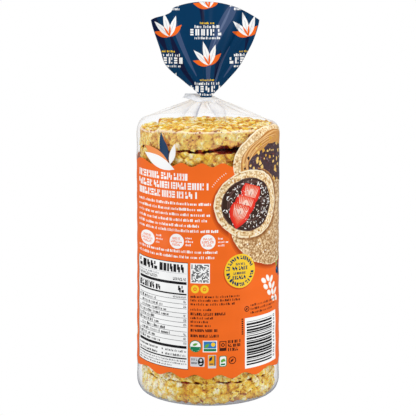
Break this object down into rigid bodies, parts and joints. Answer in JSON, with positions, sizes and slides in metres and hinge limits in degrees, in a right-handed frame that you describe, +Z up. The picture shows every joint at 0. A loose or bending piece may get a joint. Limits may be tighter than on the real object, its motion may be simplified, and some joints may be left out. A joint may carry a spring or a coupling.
{
  "type": "bag of puffed rice cakes",
  "caption": "Sealed clear film bag holding a round stack of puffed rice cakes, with a printed label panel, a gathered neck and a flared printed header.",
  "frame": {"origin": "middle of the flat base", "axes": "+Z up along the stack, -Y towards the printed panel with the white table, +X to its right"},
  "size_m": [0.1038, 0.1038, 0.2799],
  "materials": {
    "printed_film": "clear film printed in orange, semi gloss",
    "clear_film": "thin clear film with soft haze and gloss",
    "header_film": "film printed in navy with small motifs, semi gloss",
    "rice_cake": "puffed whole grain rice, dry and pitted"
  },
  "bodies": {
    "root": {"rice_cake_bag": "printed_film"}
  },
  "joints": []
}
